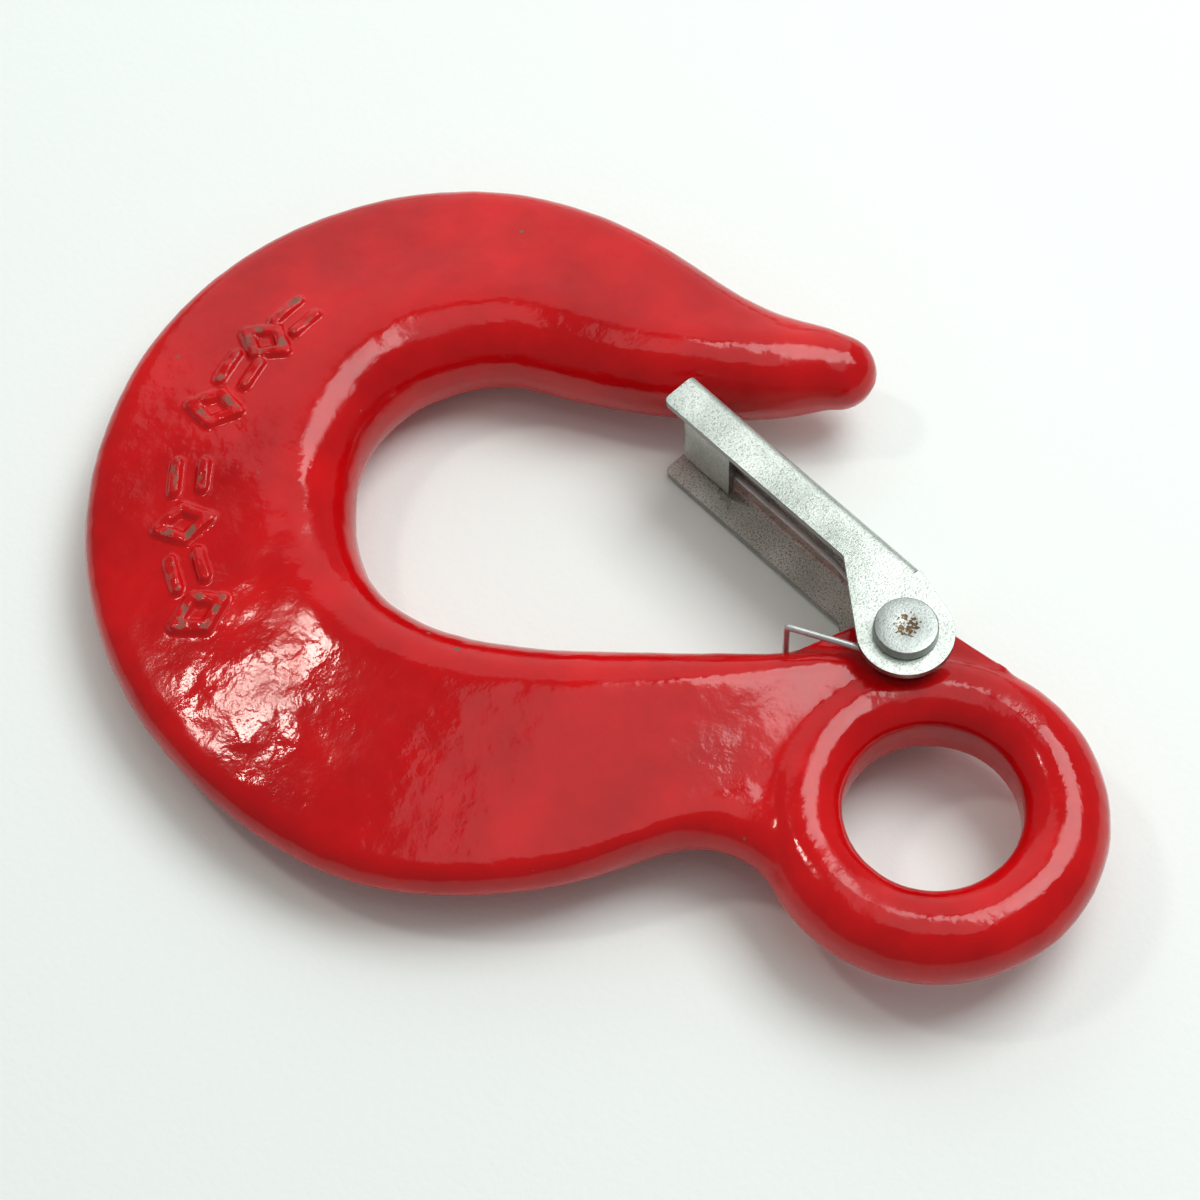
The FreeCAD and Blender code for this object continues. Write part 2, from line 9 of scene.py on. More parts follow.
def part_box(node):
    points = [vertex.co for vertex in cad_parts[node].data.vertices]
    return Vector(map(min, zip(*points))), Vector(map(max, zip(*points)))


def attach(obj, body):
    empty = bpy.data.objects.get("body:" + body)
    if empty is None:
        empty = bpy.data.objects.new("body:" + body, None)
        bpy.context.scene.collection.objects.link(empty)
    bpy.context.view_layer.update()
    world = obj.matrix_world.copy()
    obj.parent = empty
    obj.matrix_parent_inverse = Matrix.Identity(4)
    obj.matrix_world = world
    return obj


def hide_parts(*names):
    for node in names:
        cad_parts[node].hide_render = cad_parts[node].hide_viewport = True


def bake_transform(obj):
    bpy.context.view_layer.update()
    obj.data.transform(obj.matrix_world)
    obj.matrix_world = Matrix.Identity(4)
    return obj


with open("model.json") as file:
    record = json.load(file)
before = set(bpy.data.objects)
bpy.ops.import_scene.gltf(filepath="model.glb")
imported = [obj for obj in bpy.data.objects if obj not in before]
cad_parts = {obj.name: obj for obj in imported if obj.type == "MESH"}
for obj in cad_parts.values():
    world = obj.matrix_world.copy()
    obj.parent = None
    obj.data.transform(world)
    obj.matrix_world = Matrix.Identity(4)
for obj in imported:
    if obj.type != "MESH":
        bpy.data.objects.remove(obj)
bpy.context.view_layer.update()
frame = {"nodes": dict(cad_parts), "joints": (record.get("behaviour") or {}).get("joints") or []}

hinge_pin = Vector(frame["joints"][0]["pos_m"])

# ---- the hook forging --------------------------------------------------------------------------
# Body, point, eye and latch lug are one drop-forged piece of alloy steel. The die leaves soft
# fillets where they meet, so the closed shape is melted together in small cells and relaxed.

forging_cell = 0.00063
forging_relax = 13


def add_piece(name, mesh):
    """A new object at the origin, linked to the scene."""
    piece = bpy.data.objects.new(name, mesh)
    bpy.context.scene.collection.objects.link(piece)
    return piece


def apply_stack(piece):
    """Turn a piece's modifiers, or its curve, into a plain mesh."""
    shaped = piece.evaluated_get(bpy.context.evaluated_depsgraph_get())
    mesh = bpy.data.meshes.new_from_object(shaped)
    if piece.type == "CURVE":
        finished = add_piece(piece.name + "_mesh", mesh)
        bpy.data.objects.remove(piece)
        return finished
    piece.modifiers.clear()
    piece.data = mesh
    return piece


def shade_smooth(mesh):
    """Smooth shading on every face."""
    mesh.polygons.foreach_set("use_smooth", [True] * len(mesh.polygons))


shell = bmesh.new()
shell.from_mesh(frame["nodes"]["hook_forging"].data)
bmesh.ops.remove_doubles(shell, verts=shell.verts, dist=1e-6)
forging_mesh = bpy.data.meshes.new("hook_forging_painted")
shell.to_mesh(forging_mesh)
shell.free()
forging = add_piece("hook_forging_painted", forging_mesh)

cells = forging.modifiers.new("melted_together", "REMESH")
cells.mode = "VOXEL"
cells.voxel_size = forging_cell
cells.use_smooth_shade = True
relax = forging.modifiers.new("die_fillets", "SMOOTH")
relax.factor = 0.5
relax.iterations = forging_relax
apply_stack(forging)

# ---- raised marks and parting line -------------------------------------------------------------
# A row of plain raised marks, lozenges and pairs of short bars, is struck into the flat of the
# bowl, and a thin ridge runs round the mid-plane where the two die halves met and were ground.

bowl_centre = Vector((-0.0003, -0.0823, 0.0))
mark_angles = (-94.0, -86.0, -78.0, -68.5, -53.0, -43.0, -33.5, -24.5)
marks_begin, marks_end = -102.0, -15.0
row_radius = 0.0441
row_drift = 0.00007
row_drift_start = -93.0
top_side = 0.002
mark_reach = 0.0065
mark_height = 0.0010
stroke_half_width = 0.00095
stroke_shoulder = 0.0009
ridge_height = 0.00012
ridge_half_width = 0.0005
fine_mesh_begin, fine_mesh_end = -99.5, -19.0
fine_mesh_reach = 0.0058

lozenge = [Vector((0.0, -0.0040)), Vector((0.0027, 0.0)), Vector((0.0, 0.0040)), Vector((-0.0027, 0.0))]
lozenge_strokes = list(zip(lozenge, lozenge[1:] + lozenge[:1]))
bar_strokes = [
    (Vector((-0.0023, -0.0022)), Vector((0.0023, -0.0022))),
    (Vector((-0.0023, 0.0022)), Vector((0.0023, 0.0022))),
]


def mark_radius(angle):
    """Distance of the marks' row from the bowl's centre: it follows the outer rim."""
    return row_radius + row_drift * (angle - row_drift_start)


def stroke_distance(place, strokes):
    """Distance from a place to the nearest of the strokes."""
    nearest = 1.0
    for begin, end in strokes:
        run = end - begin
        share = max(0.0, min(1.0, (place - begin).dot(run) / run.length_squared))
        nearest = min(nearest, (place - begin - run * share).length)
    return nearest


def raised_share(point):
    """0 on the plain flat of the bowl, 1 on top of a raised mark."""
    offset = point - bowl_centre
    angle = math.degrees(math.atan2(offset.y, offset.x))
    if point.z < top_side or not marks_begin < angle < marks_end:
        return 0.0
    distance = math.hypot(offset.x, offset.y)
    share = 0.0
    for index, mark_angle in enumerate(mark_angles):
        radius = mark_radius(mark_angle)
        place = Vector((math.radians(angle - mark_angle) * radius, distance - radius))
        if place.length > mark_reach:
            continue
        strokes = lozenge_strokes if index % 2 else bar_strokes
        inside = (stroke_half_width - stroke_distance(place, strokes)) / stroke_shoulder + 0.5
        inside = max(0.0, min(1.0, inside))
        share = max(share, inside * inside * (3.0 - 2.0 * inside))
    return share


def near_marks(face):
    """Whether a face of the top side lies in the band of the marks."""
    middle = face.calc_center_median()
    offset = middle - bowl_centre
    angle = math.degrees(math.atan2(offset.y, offset.x))
    from_row = abs(math.hypot(offset.x, offset.y) - mark_radius(angle))
    return middle.z > top_side and fine_mesh_begin < angle < fine_mesh_end and from_row < fine_mesh_reach


shell = bmesh.new()
shell.from_mesh(forging.data)
band_edges = {edge for face in shell.faces if near_marks(face) for edge in face.edges}
bmesh.ops.subdivide_edges(shell, edges=list(band_edges), cuts=1, use_grid_fill=True, smooth=0.4)
shell.normal_update()
raised = shell.verts.layers.float.new("raised")
for vertex in shell.verts:
    share = raised_share(vertex.co)
    vertex[raised] = share
    ridge = math.exp(-(vertex.co.z / ridge_half_width) ** 2)
    ridge *= 0.6 + 0.6 * noise.noise(vertex.co * 160.0)
    vertex.co += vertex.normal * ridge_height * ridge
    vertex.co.z += mark_height * share * (0.85 + 0.3 * noise.noise(vertex.co * 500.0))
shell.to_mesh(forging.data)
shell.free()
shade_smooth(forging.data)

# ---- the forged skin ---------------------------------------------------------------------------
# Scale and die wear leave the skin uneven: long shallow waves, and small dents under the paint.

for skin_name, wave_length, depth in (("long_waves", 0.010, 0.00028), ("small_dents", 0.0030, 0.00010)):
    pattern = bpy.data.textures.new(skin_name, "CLOUDS")
    pattern.noise_scale = wave_length
    pattern.noise_depth = 2
    waves = forging.modifiers.new(skin_name, "DISPLACE")
    waves.texture = pattern
    waves.texture_coords = "LOCAL"
    waves.strength = depth
    waves.mid_level = 0.60

# ---- red paint ---------------------------------------------------------------------------------
# Thick glossy red enamel, sprayed straight on the forging: orange peel, a few pits and nicks,
# and bare brown steel where the tops of the raised marks were knocked.

paint = bpy.data.materials.new("red_enamel")
paint.use_nodes = True
nodes = paint.node_tree.nodes
links = paint.node_tree.links
nodes.clear()

place = nodes.new("ShaderNodeTexCoord")
place.label = "Place on the hook"
place.location = (-1900, 0)

colour_frame = nodes.new("NodeFrame")
colour_frame.label = "Enamel colour"
cloud = nodes.new("ShaderNodeTexNoise")
cloud.label = "Uneven coat"
cloud.location = (-1600, 500)
cloud.parent = colour_frame
cloud.inputs["Scale"].default_value = 55.0
cloud.inputs["Detail"].default_value = 5.0
cloud.inputs["Roughness"].default_value = 0.6
coat_colour = nodes.new("ShaderNodeValToRGB")
coat_colour.label = "Deep to light red"
coat_colour.location = (-1380, 500)
coat_colour.parent = colour_frame
coat_colour.color_ramp.elements[0].position = 0.32
coat_colour.color_ramp.elements[0].color = (0.42, 0.001, 0.003, 1.0)
coat_colour.color_ramp.elements[1].position = 0.72
coat_colour.color_ramp.elements[1].color = (0.66, 0.004, 0.006, 1.0)

chip_frame = nodes.new("NodeFrame")
chip_frame.label = "Chips on the raised marks"
raised_value = nodes.new("ShaderNodeAttribute")
raised_value.label = "Raised marks"
raised_value.location = (-1600, 900)
raised_value.parent = chip_frame
raised_value.attribute_name = "raised"
chip_noise = nodes.new("ShaderNodeTexNoise")
chip_noise.label = "Where the paint was knocked off"
chip_noise.location = (-1600, 1150)
chip_noise.parent = chip_frame
chip_noise.inputs["Scale"].default_value = 430.0
chip_noise.inputs["Detail"].default_value = 4.0
chip_both = nodes.new("ShaderNodeMath")
chip_both.label = "Only on the tops"
chip_both.location = (-1380, 1050)
chip_both.parent = chip_frame
chip_both.operation = "MULTIPLY"
chip_edge = nodes.new("ShaderNodeMapRange")
chip_edge.label = "Ragged edge of a chip"
chip_edge.location = (-1180, 1050)
chip_edge.parent = chip_frame
chip_edge.inputs["From Min"].default_value = 0.50
chip_edge.inputs["From Max"].default_value = 0.62
chip_edge.inputs["To Max"].default_value = 0.85
links.new(raised_value.outputs["Fac"], chip_both.inputs[0])
links.new(chip_noise.outputs["Fac"], chip_both.inputs[1])
links.new(chip_both.outputs["Value"], chip_edge.inputs["Value"])

pit_frame = nodes.new("NodeFrame")
pit_frame.label = "Pits and nicks"
pit_cells = nodes.new("ShaderNodeTexVoronoi")
pit_cells.label = "Scattered pits"
pit_cells.location = (-1600, -100)
pit_cells.parent = pit_frame
pit_cells.inputs["Scale"].default_value = 190.0
pit_cells.inputs["Randomness"].default_value = 1.0
pit_spread = nodes.new("ShaderNodeTexNoise")
pit_spread.label = "Pits come in groups"
pit_spread.location = (-1600, -350)
pit_spread.parent = pit_frame
pit_spread.inputs["Scale"].default_value = 75.0
pit_size = nodes.new("ShaderNodeMapRange")
pit_size.label = "Largest pit"
pit_size.location = (-1380, -350)
pit_size.parent = pit_frame
pit_size.inputs["From Min"].default_value = 0.52
pit_size.inputs["From Max"].default_value = 0.75
pit_size.inputs["To Max"].default_value = 0.11
pit_inside = nodes.new("ShaderNodeMath")
pit_inside.label = "Inside a pit"
pit_inside.location = (-1180, -200)
pit_inside.parent = pit_frame
pit_inside.operation = "LESS_THAN"
links.new(pit_spread.outputs["Fac"], pit_size.inputs["Value"])
links.new(pit_cells.outputs["Distance"], pit_inside.inputs[0])
links.new(pit_size.outputs["Result"], pit_inside.inputs[1])

relief_frame = nodes.new("NodeFrame")
relief_frame.label = "Orange peel and dents"
peel = nodes.new("ShaderNodeTexNoise")
peel.label = "Orange peel"
peel.location = (-1600, -700)
peel.parent = relief_frame
peel.inputs["Scale"].default_value = 950.0
peel.inputs["Detail"].default_value = 2.0
dents = nodes.new("ShaderNodeTexNoise")
dents.label = "Dents of the scale under the paint"
dents.location = (-1600, -950)
dents.parent = relief_frame
dents.inputs["Scale"].default_value = 330.0
dents.inputs["Detail"].default_value = 3.0
dents.inputs["Roughness"].default_value = 0.55
peel_bump = nodes.new("ShaderNodeBump")
peel_bump.label = "Peel height"
peel_bump.location = (-900, -700)
peel_bump.parent = relief_frame
peel_bump.inputs["Strength"].default_value = 1.0
peel_bump.inputs["Distance"].default_value = 0.00003
dent_bump = nodes.new("ShaderNodeBump")
dent_bump.label = "Dent depth"
dent_bump.location = (-1150, -950)
dent_bump.parent = relief_frame
dent_bump.inputs["Strength"].default_value = 1.0
dent_bump.inputs["Distance"].default_value = 0.00006
pit_bump = nodes.new("ShaderNodeBump")
pit_bump.label = "Pits and chips sink in"
pit_bump.location = (-650, -700)
pit_bump.parent = relief_frame
pit_bump.invert = True
pit_bump.inputs["Strength"].default_value = 0.6
pit_bump.inputs["Distance"].default_value = 0.00012
bare = nodes.new("ShaderNodeMath")
bare.label = "No paint here"
bare.location = (-950, 700)
bare.operation = "MAXIMUM"
links.new(peel.outputs["Fac"], peel_bump.inputs["Height"])
links.new(dents.outputs["Fac"], dent_bump.inputs["Height"])
links.new(dent_bump.outputs["Normal"], peel_bump.inputs["Normal"])
links.new(peel_bump.outputs["Normal"], pit_bump.inputs["Normal"])
links.new(chip_edge.outputs["Result"], bare.inputs[0])
links.new(pit_inside.outputs["Value"], bare.inputs[1])
links.new(bare.outputs["Value"], pit_bump.inputs["Height"])

bare_colour = nodes.new("ShaderNodeMix")
bare_colour.label = "Brown steel in chips and pits"
bare_colour.location = (-700, 500)
bare_colour.data_type = "RGBA"
bare_colour.inputs[7].default_value = (0.20, 0.095, 0.065, 1.0)
smear = nodes.new("ShaderNodeTexNoise")
smear.label = "Handling marks in the gloss"
smear.location = (-1150, 150)
smear.inputs["Scale"].default_value = 120.0
smear.inputs["Detail"].default_value = 6.0
gloss = nodes.new("ShaderNodeMapRange")
gloss.label = "Gloss of the enamel"
gloss.location = (-900, 150)
gloss.inputs["From Min"].default_value = 0.35
gloss.inputs["From Max"].default_value = 0.75
gloss.inputs["To Min"].default_value = 0.07
gloss.inputs["To Max"].default_value = 0.20
dull = nodes.new("ShaderNodeMath")
dull.label = "Bare steel is dull"
dull.location = (-650, 150)
dull.operation = "MAXIMUM"
dull_bare = nodes.new("ShaderNodeMath")
dull_bare.label = "Dullness of bare steel"
dull_bare.location = (-650, 330)
dull_bare.operation = "MULTIPLY"
dull_bare.inputs[1].default_value = 0.6
surface = nodes.new("ShaderNodeBsdfPrincipled")
surface.label = "Red enamel"
surface.location = (-300, 200)
surface.inputs["IOR"].default_value = 1.5
surface.inputs["Specular IOR Level"].default_value = 0.36
output = nodes.new("ShaderNodeOutputMaterial")
output.label = "Surface"
output.location = (50, 200)
for texture in (cloud, chip_noise, pit_cells, pit_spread, peel, dents, smear):
    links.new(place.outputs["Object"], texture.inputs["Vector"])
links.new(cloud.outputs["Fac"], coat_colour.inputs["Fac"])
links.new(coat_colour.outputs["Color"], bare_colour.inputs[6])
links.new(bare.outputs["Value"], bare_colour.inputs["Factor"])
links.new(bare_colour.outputs[2], surface.inputs["Base Color"])
links.new(smear.outputs["Fac"], gloss.inputs["Value"])
links.new(bare.outputs["Value"], dull_bare.inputs[0])
links.new(gloss.outputs["Result"], dull.inputs[0])
links.new(dull_bare.outputs["Value"], dull.inputs[1])
links.new(dull.outputs["Value"], surface.inputs["Roughness"])
links.new(pit_bump.outputs["Normal"], surface.inputs["Normal"])
links.new(surface.outputs["BSDF"], output.inputs["Surface"])

forging.data.materials.clear()
forging.data.materials.append(paint)
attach(forging, "hook")
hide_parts("hook_forging")

# ---- the latch ---------------------------------------------------------------------------------
# One blank of 1.1 mm sheet, folded to a channel with two ears and a hem folded in at the tip.
# It is laid out along X from the pivot to the tip, with its back at -Y, then turned into place.

sheet = 0.0011
half_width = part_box("latch")[1].z
latch_length = 0.0534
back_level = -0.0093
flange_level = -0.0026
ear_radius = 0.0072
ear_bore = 0.00257
kink_start = 0.0152
web_start = 0.0060
bend = 0.0017
tip_corner = 0.0010
hem_half = 0.0082
hem_length = 0.0110
hem_outer_radius = 0.001725
hem_relief = 0.0003
bore_sides = 24
latch_angle = math.radians(-96.8)


def touch_angle(x, y, side):
    """Angle on the ear where a line from the point x, y touches it."""
    return math.atan2(y, x) + side * math.acos(ear_radius / math.hypot(x, y))


def arc_points(x, y, radius, begin, end, count):
    """Points along an arc in the side view, both ends included."""
    points = []
    for step in range(count + 1):
        angle = begin + (end - begin) * step / count
        points.append((x + radius * math.cos(angle), y + radius * math.sin(angle)))
    return points


def closed_loop(shell, points, z):
    """Edges of a closed loop of side-view points at one level."""
    corners = [shell.verts.new((x, y, z)) for x, y in points]
    return [shell.edges.new((a, b)) for a, b in zip(corners, corners[1:] + corners[:1])]


def strip(shell, first, second):
    """Faces between two rows of points of the same length."""
    rows = [[shell.verts.new(point) for point in row] for row in (first, second)]
    for index in range(len(first) - 1):
        shell.faces.new((rows[0][index], rows[0][index + 1], rows[1][index + 1], rows[1][index]))


kink_touch = touch_angle(kink_start, flange_level, 1.0)
ramp_touch = touch_angle(web_start, back_level, -1.0) + 2.0 * math.pi
flange = [(latch_length, back_level + bend)]
flange += arc_points(latch_length - tip_corner, flange_level - tip_corner, tip_corner, 0.0, math.pi / 2.0, 5)
flange += [(kink_start, flange_level)]
flange += arc_points(0.0, 0.0, ear_radius, kink_touch, ramp_touch, 40)
flange += [(web_start - hem_relief, back_level + hem_relief), (web_start, back_level + bend)]
fold_x = latch_length - hem_outer_radius
flange += [(fold_x, back_level + bend)]
last_side = 2.0 * math.pi * (bore_sides - 1) / bore_sides
bore = arc_points(0.0, 0.0, ear_bore, 0.0, last_side, bore_sides - 1)

shell = bmesh.new()
for z in (half_width, -half_width):
    rims = closed_loop(shell, flange, z) + closed_loop(shell, bore, z)
    bmesh.ops.triangle_fill(shell, use_beauty=True, edges=rims)
quarter = arc_points(back_level + bend, half_width - bend, bend, math.pi / 2.0, math.pi, 6)
side = quarter + [(back_level, hem_half)]
across = side + [(y, -z) for y, z in reversed(side)]
strip(shell, [(web_start, y, z) for y, z in across], [(fold_x, y, z) for y, z in across])
for turn in (1.0, -1.0):
    tip_row = [(latch_length, y, max(z, hem_half + hem_relief) * turn) for y, z in side]
    strip(shell, [(fold_x, y, z * turn) for y, z in side], tip_row)
fold = arc_points(fold_x, back_level + hem_outer_radius, hem_outer_radius, -math.pi / 2.0, math.pi / 2.0, 10)
fold += [(latch_length - hem_length, back_level + 2.0 * hem_outer_radius)]
fold_half = [hem_half] + [hem_half - hem_relief] * (len(fold) - 1)
for (x, y), (next_x, next_y), half, next_half in zip(fold, fold[1:], fold_half, fold_half[1:]):
    strip(shell, [(x, y, half), (x, y, -half)], [(next_x, next_y, next_half), (next_x, next_y, -next_half)])
bmesh.ops.remove_doubles(shell, verts=shell.verts, dist=1e-6)
bmesh.ops.recalc_face_normals(shell, faces=shell.faces)
web = max(shell.faces, key=lambda face: face.calc_area())
if web.normal.y > 0.0:
    bmesh.ops.reverse_faces(shell, faces=shell.faces)
latch_mesh = bpy.data.meshes.new("latch_sheet")
shell.to_mesh(latch_mesh)
shell.free()
latch = add_piece("latch_sheet", latch_mesh)

wall = latch.modifiers.new("sheet", "SOLIDIFY")
wall.thickness = sheet
wall.offset = -1.0
wall.use_even_offset = True
# The inner faces take the lighter copy of the zinc, a painted highlight for the bright streak inside the
# bend.
wall.material_offset = 1
# The rims take the darker copy of the zinc, painted shade for the dark line along the sheet's edges.
wall.material_offset_rim = 2
rolled = latch.modifiers.new("tumbled_edges", "BEVEL")
rolled.width = 0.00028
rolled.segments = 3
rolled.limit_method = "ANGLE"
rolled.angle_limit = math.radians(40.0)
even = latch.modifiers.new("flat_faces", "WEIGHTED_NORMAL")
even.weight = 80
shade_smooth(latch.data)


def zinc_plate(name, light, dark, speck_strength, grain_size, grain_depth, dullness, metal_share):
    """Clear-passivated zinc plating on steel, with its crystal grain and dark specks."""
    zinc = bpy.data.materials.new(name)
    zinc.use_nodes = True
    nodes = zinc.node_tree.nodes
    links = zinc.node_tree.links
    nodes.clear()
    place = nodes.new("ShaderNodeTexCoord")
    place.label = "Place on the piece"
    place.location = (-1500, 0)

    tone_frame = nodes.new("NodeFrame")
    tone_frame.label = "Plating colour"
    bloom = nodes.new("ShaderNodeTexNoise")
    bloom.label = "Cloudy plating"
    bloom.location = (-1250, 400)
    bloom.parent = tone_frame
    bloom.inputs["Scale"].default_value = 130.0
    bloom.inputs["Detail"].default_value = 6.0
    tone = nodes.new("ShaderNodeValToRGB")
    tone.label = "Grey to pale green-white"
    tone.location = (-1000, 400)
    tone.parent = tone_frame
    tone.color_ramp.elements[0].position = 0.3
    tone.color_ramp.elements[0].color = dark
    tone.color_ramp.elements[1].position = 0.7
    tone.color_ramp.elements[1].color = light

    speck_frame = nodes.new("NodeFrame")
    speck_frame.label = "Dark specks"
    specks = nodes.new("ShaderNodeTexNoise")
    specks.label = "Fine specks"
    specks.location = (-1250, 100)
    specks.parent = speck_frame
    specks.inputs["Scale"].default_value = 1.0 / grain_size
    specks.inputs["Detail"].default_value = 3.0
    specks.inputs["Roughness"].default_value = 0.7
    speck_edge = nodes.new("ShaderNodeMapRange")
    speck_edge.label = "How many specks"
    speck_edge.location = (-1000, 100)
    speck_edge.parent = speck_frame
    speck_edge.inputs["From Min"].default_value = 0.50
    speck_edge.inputs["From Max"].default_value = 0.34
    speck_edge.inputs["To Max"].default_value = speck_strength
    speck_colour = nodes.new("ShaderNodeMix")
    speck_colour.label = "Specks over the plating"
    speck_colour.location = (-700, 300)
    speck_colour.data_type = "RGBA"
    speck_colour.inputs[7].default_value = (0.10, 0.10, 0.09, 1.0)

    relief_frame = nodes.new("NodeFrame")
    relief_frame.label = "Grain and roller dents"
    grain = nodes.new("ShaderNodeBump")
    grain.label = "Grain height"
    grain.location = (-700, -200)
    grain.parent = relief_frame
    grain.inputs["Strength"].default_value = 1.0
    grain.inputs["Distance"].default_value = grain_depth
    wobble = nodes.new("ShaderNodeTexNoise")
    wobble.label = "Sheet is not quite flat"
    wobble.location = (-1250, -400)
    wobble.parent = relief_frame
    wobble.inputs["Scale"].default_value = 160.0
    wobble.inputs["Detail"].default_value = 2.0
    wobble_bump = nodes.new("ShaderNodeBump")
    wobble_bump.label = "Dents from the press"
    wobble_bump.location = (-950, -400)
    wobble_bump.parent = relief_frame
    wobble_bump.inputs["Strength"].default_value = 1.0
    wobble_bump.inputs["Distance"].default_value = 0.00008

    shine_frame = nodes.new("NodeFrame")
    shine_frame.label = "Uneven shine"
    shine = nodes.new("ShaderNodeMapRange")
    shine.label = "Roughness of the plating"
    shine.location = (-700, 50)
    shine.parent = shine_frame
    shine.inputs["To Min"].default_value = dullness - 0.10
    shine.inputs["To Max"].default_value = dullness + 0.12
    surface = nodes.new("ShaderNodeBsdfPrincipled")
    surface.label = "Zinc"
    surface.location = (-350, 100)
    surface.inputs["Metallic"].default_value = metal_share
    output = nodes.new("ShaderNodeOutputMaterial")
    output.label = "Surface"
    output.location = (0, 100)
    for texture in (bloom, specks, wobble):
        links.new(place.outputs["Object"], texture.inputs["Vector"])
    links.new(bloom.outputs["Fac"], tone.inputs["Fac"])
    links.new(bloom.outputs["Fac"], shine.inputs["Value"])
    links.new(specks.outputs["Fac"], speck_edge.inputs["Value"])
    links.new(speck_edge.outputs["Result"], speck_colour.inputs["Factor"])
    links.new(tone.outputs["Color"], speck_colour.inputs[6])
    links.new(wobble.outputs["Fac"], wobble_bump.inputs["Height"])
    links.new(specks.outputs["Fac"], grain.inputs["Height"])
    links.new(wobble_bump.outputs["Normal"], grain.inputs["Normal"])
    links.new(speck_colour.outputs[2], surface.inputs["Base Color"])
    links.new(shine.outputs["Result"], surface.inputs["Roughness"])
    links.new(grain.outputs["Normal"], surface.inputs["Normal"])
    links.new(surface.outputs["BSDF"], output.inputs["Surface"])
    return zinc


latch.data.materials.append(zinc_plate(
    "zinc_outside", (0.62, 0.68, 0.63, 1.0), (0.38, 0.43, 0.39, 1.0), 0.60, 0.00030, 0.00005, 0.34, 0.85))
# Inside: the same zinc made lighter, painted highlight standing in for the bright streak along the inside of
# the bend.
latch.data.materials.append(zinc_plate(
    "zinc_inside_painted_highlight", (0.80, 0.82, 0.76, 1.0), (0.50, 0.52, 0.47, 1.0), 0.90, 0.00032, 0.00020, 0.30, 0.70))
# Cut edges: the same zinc made darker, painted shade standing in for the dark line along the sheet's edges.
latch.data.materials.append(zinc_plate(
    "zinc_cut_edge_painted_shade", (0.34, 0.36, 0.34, 1.0), (0.20, 0.21, 0.20, 1.0), 0.50, 0.00024, 0.00003, 0.26, 0.85))
latch = apply_stack(latch)
latch.data.transform(Matrix.Translation(hinge_pin) @ Matrix.Rotation(latch_angle, 4, "Z"))
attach(latch, "latch")
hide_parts("latch")

# ---- the rivet ---------------------------------------------------------------------------------
# A steel rivet through both ears and the lug, turned here as a profile. Both ends are peened
# over: a low drum with a soft rim, slightly dished and pitted where the punch struck.

shank_radius = 0.0025
head_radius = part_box("rivet")[1].x - hinge_pin.x
head_top_radius = 0.00470
head_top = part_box("rivet")[1].z
head_base = head_top - 0.0018
rim_round = 0.00012
head = [
    (0.0, head_top - 0.00020), (0.0009, head_top - 0.00016), (0.0017, head_top - 0.00005),
    (0.0026, head_top), (0.0036, head_top - 0.00002), (head_top_radius - rim_round, head_top - 0.00006),
    (head_top_radius, head_top - 0.00006 - rim_round), (head_radius, head_base + 0.0003),
    (head_radius - 0.0001, head_base), (shank_radius, head_base),
]
profile = head + [(radius, -z) for radius, z in reversed(head)]
shell = bmesh.new()
corners = [shell.verts.new((radius, 0.0, z)) for radius, z in profile]
for upper, lower in zip(corners, corners[1:]):
    shell.edges.new((upper, lower))
rivet_mesh = bpy.data.meshes.new("rivet_peened")
shell.to_mesh(rivet_mesh)
shell.free()
rivet = add_piece("rivet_peened", rivet_mesh)
turned = rivet.modifiers.new("turned", "SCREW")
turned.steps = 64
turned.render_steps = 64
turned.use_merge_vertices = True
turned.merge_threshold = 1e-6
turned.use_smooth_shade = True
soft = rivet.modifiers.new("soft_corners", "BEVEL")
soft.width = 0.00008
soft.segments = 2
soft.limit_method = "ANGLE"
soft.angle_limit = math.radians(40.0)
crisp = rivet.modifiers.new("flat_top", "WEIGHTED_NORMAL")
crisp.weight = 80

rivet_zinc = zinc_plate(
    "zinc_rivet", (0.44, 0.49, 0.46, 1.0), (0.26, 0.29, 0.28, 1.0), 0.40, 0.00036, 0.00005, 0.34, 0.85)
nodes = rivet_zinc.node_tree.nodes
links = rivet_zinc.node_tree.links
place = [node for node in nodes if node.label == "Place on the piece"][0]
surface = [node for node in nodes if node.label == "Zinc"][0]
plating = surface.inputs["Base Color"].links[0].from_socket
rust_frame = nodes.new("NodeFrame")
rust_frame.label = "Rust where the punch struck"
from_axis = nodes.new("ShaderNodeVectorMath")
from_axis.label = "Measured from the rivet's axis"
from_axis.location = (-1250, -700)
from_axis.parent = rust_frame
from_axis.operation = "SUBTRACT"
from_axis.inputs[1].default_value = hinge_pin
flat_place = nodes.new("ShaderNodeVectorMath")
flat_place.label = "Seen along the axis"
flat_place.location = (-1080, -700)
flat_place.parent = rust_frame
flat_place.operation = "MULTIPLY"
flat_place.inputs[1].default_value = (1.0, 1.0, 0.0)
axis_distance = nodes.new("ShaderNodeVectorMath")
axis_distance.label = "Distance from the axis"
axis_distance.location = (-910, -700)
axis_distance.parent = rust_frame
axis_distance.operation = "LENGTH"
patch = nodes.new("ShaderNodeMapRange")
patch.label = "Most at the centre"
patch.location = (-740, -700)
patch.parent = rust_frame
patch.inputs["From Min"].default_value = 0.0013
patch.inputs["From Max"].default_value = 0.0030
patch.inputs["To Min"].default_value = 0.16
patch.inputs["To Max"].default_value = -0.16
rust_grain = nodes.new("ShaderNodeTexNoise")
rust_grain.label = "Pitted grain"
rust_grain.location = (-910, -950)
rust_grain.parent = rust_frame
rust_grain.inputs["Scale"].default_value = 1900.0
rust_grain.inputs["Detail"].default_value = 4.0
rust_sum = nodes.new("ShaderNodeMath")
rust_sum.label = "Grain and patch together"
rust_sum.location = (-560, -800)
